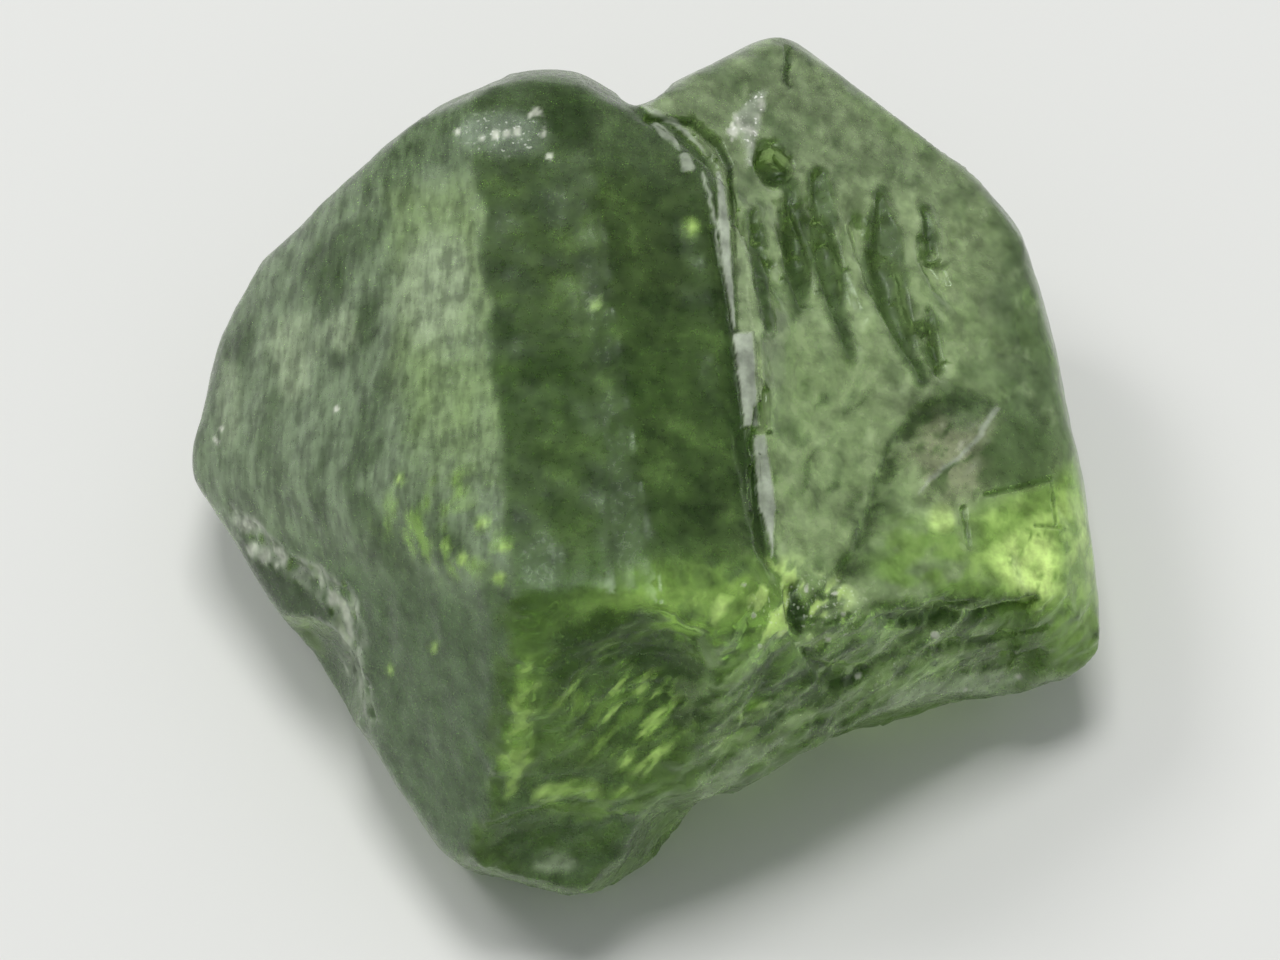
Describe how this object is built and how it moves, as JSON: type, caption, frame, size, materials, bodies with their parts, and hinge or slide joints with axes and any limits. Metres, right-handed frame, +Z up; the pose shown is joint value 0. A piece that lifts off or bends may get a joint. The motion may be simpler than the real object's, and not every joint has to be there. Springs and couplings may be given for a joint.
{
  "type": "rough peridot crystal",
  "caption": "Rough yellow-green olivine crystals grown into each other, etched round on top and broken at the near end, with a flat underside to rest on.",
  "frame": {"origin": "the middle of the underside, on the surface that the stone rests on", "axes": "+Z up from the resting face, +X across both crystals from the left one to the right one, +Y away from the broken near end"},
  "size_m": [0.0126, 0.012, 0.007],
  "materials": {
    "peridot": "clear yellow-green stone, glassy on the broken end, dull and frosted where it is etched"
  },
  "bodies": {
    "root": {"peridot_crystal": "peridot"}
  },
  "joints": []
}
